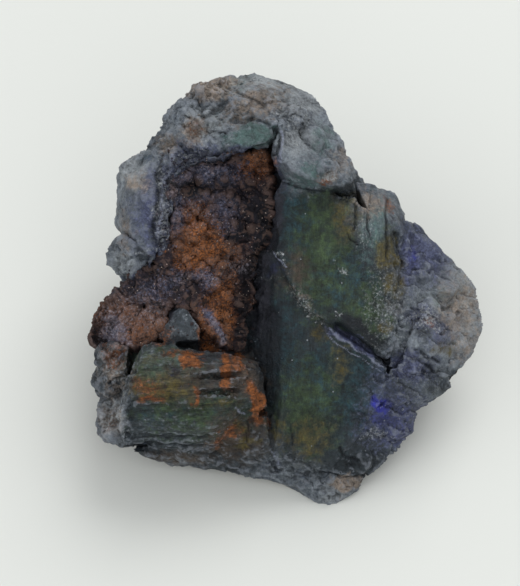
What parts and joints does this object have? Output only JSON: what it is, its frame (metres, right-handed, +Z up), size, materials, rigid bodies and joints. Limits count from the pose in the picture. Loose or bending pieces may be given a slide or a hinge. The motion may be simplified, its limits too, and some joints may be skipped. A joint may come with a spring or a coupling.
{
  "type": "azurite specimen",
  "caption": "Hand-sized mineral specimen: blocky intergrown azurite crystals partly turned to green malachite, with rusty limonite filling a recess, resting on a flat broken face.",
  "frame": {"origin": "on the flat resting face, below the middle of the broad crystal face", "axes": "+Z up from the resting face, -Y towards the side that the broad crystal face leans back from, +X to the right as the broad face is seen"},
  "size_m": [0.0632, 0.0603, 0.0423],
  "materials": {
    "azurite": "dark blue to blue-green crystal faces with a satin sheen, hazed grey-blue on the upper faces, green malachite and ochre stains",
    "limonite": "rough granular rusty brown to orange, purple-brown at the top, with fine sparkles"
  },
  "bodies": {
    "root": {"azurite_crystals": "azurite", "limonite_matrix": "limonite"}
  },
  "joints": []
}
